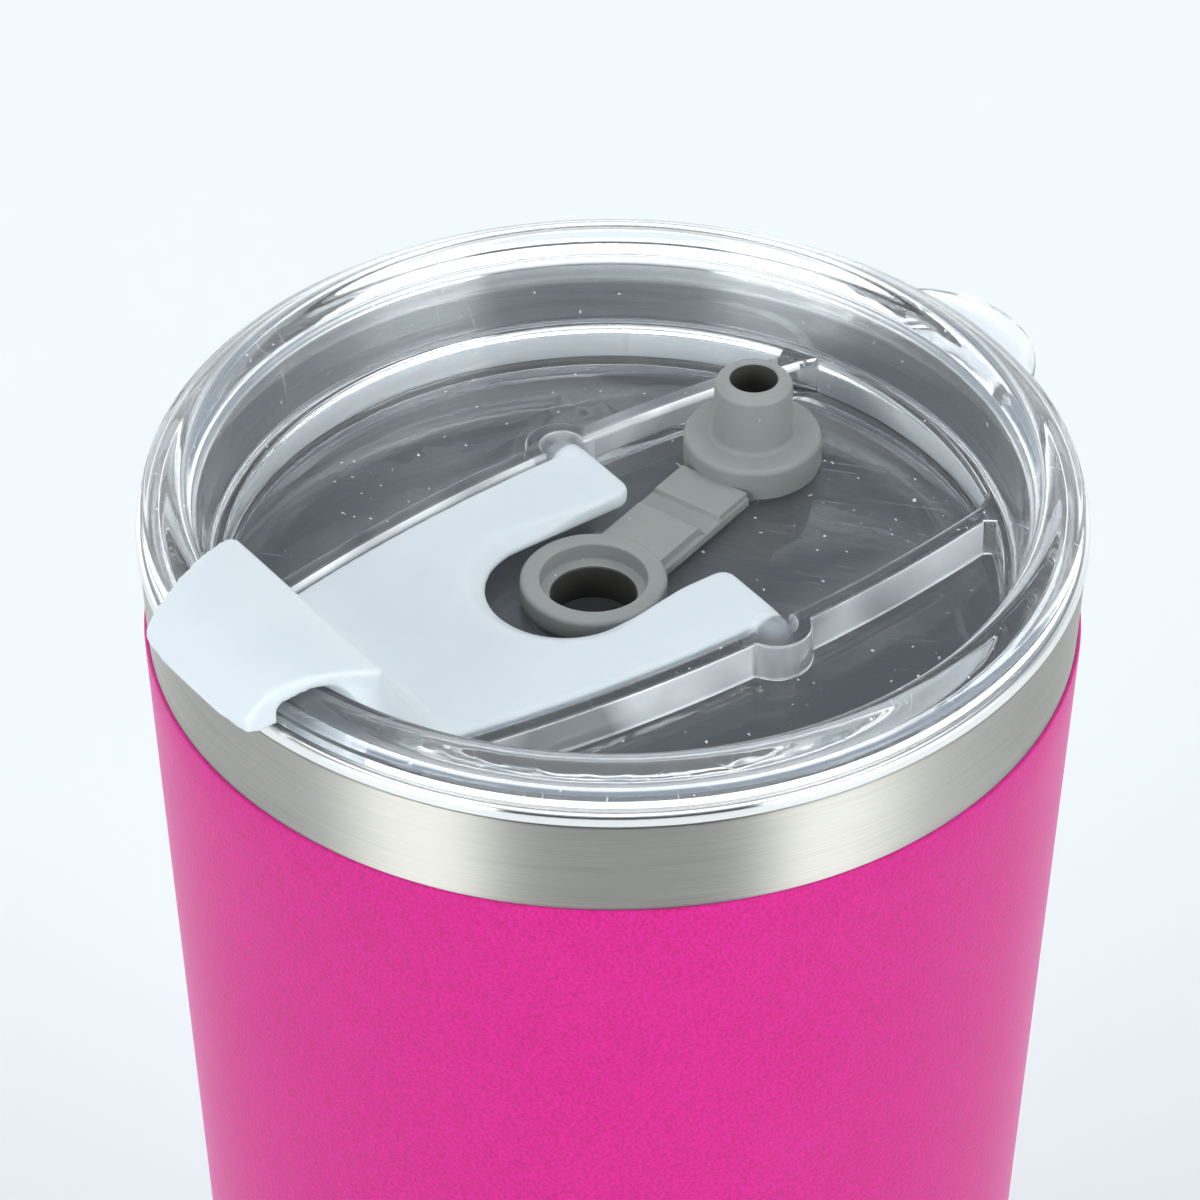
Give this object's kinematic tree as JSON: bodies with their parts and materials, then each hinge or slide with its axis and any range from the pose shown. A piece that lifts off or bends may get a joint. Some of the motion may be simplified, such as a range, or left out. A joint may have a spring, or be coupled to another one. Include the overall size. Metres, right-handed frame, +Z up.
{
  "type": "insulated tumbler with lid",
  "caption": "Tapered double-walled steel tumbler, powder coated, with a clear press-in lid, flip-top sip closure and a silicone straw grommet with a strapped stopper.",
  "frame": {"origin": "centre of the base, on the table", "axes": "+Z up along the body's axis; -Y towards the closure's thumb tab; +Y towards the lid's lift tab"},
  "size_m": [0.0882, 0.0936, 0.1735],
  "materials": {
    "steel": "brushed round the body",
    "coat": "fine-grained powder coat",
    "seal": "dull",
    "getter": "sintered, dull",
    "clear_plastic": "clear, polished",
    "clear_silicone": "translucent",
    "frosted_plastic": "frosted, translucent",
    "grey_silicone": "matt, smooth"
  },
  "bodies": {
    "tumbler": {"outer_shell": "steel", "powder_coat": "coat", "inner_liner": "steel", "base_plate": "steel", "vacuum_seal": "seal", "getter": "getter", "getter_clip": "steel"},
    "lid": {"lid_shell": "clear_plastic", "lid_gasket": "clear_silicone", "straw_grommet": "grey_silicone"},
    "closure": {"flip_closure": "frosted_plastic"},
    "strap": {"stopper_strap": "grey_silicone"},
    "plug": {"straw_plug": "grey_silicone"}
  },
  "joints": [
    {"name": "lid_lift", "type": "slide", "parent": "tumbler", "child": "lid", "axis": [0, 0, 1], "range_m": [0, 0.035]},
    {"name": "closure_flip", "type": "hinge", "parent": "lid", "child": "closure", "pos_m": [0, 0.0062, 0.161], "axis": [-1, 0, 0], "range_deg": [0, 90]},
    {"name": "stopper_fold", "type": "hinge", "parent": "lid", "child": "strap", "pos_m": [-0.00397, 0.01002, 0.1651], "axis": [0.9511, 0.309, 0], "range_deg": [0, 180]},
    {"name": "stopper_press", "type": "slide", "parent": "strap", "child": "plug", "axis": [0, 0, 1], "range_m": [0, 0.0067]}
  ]
}
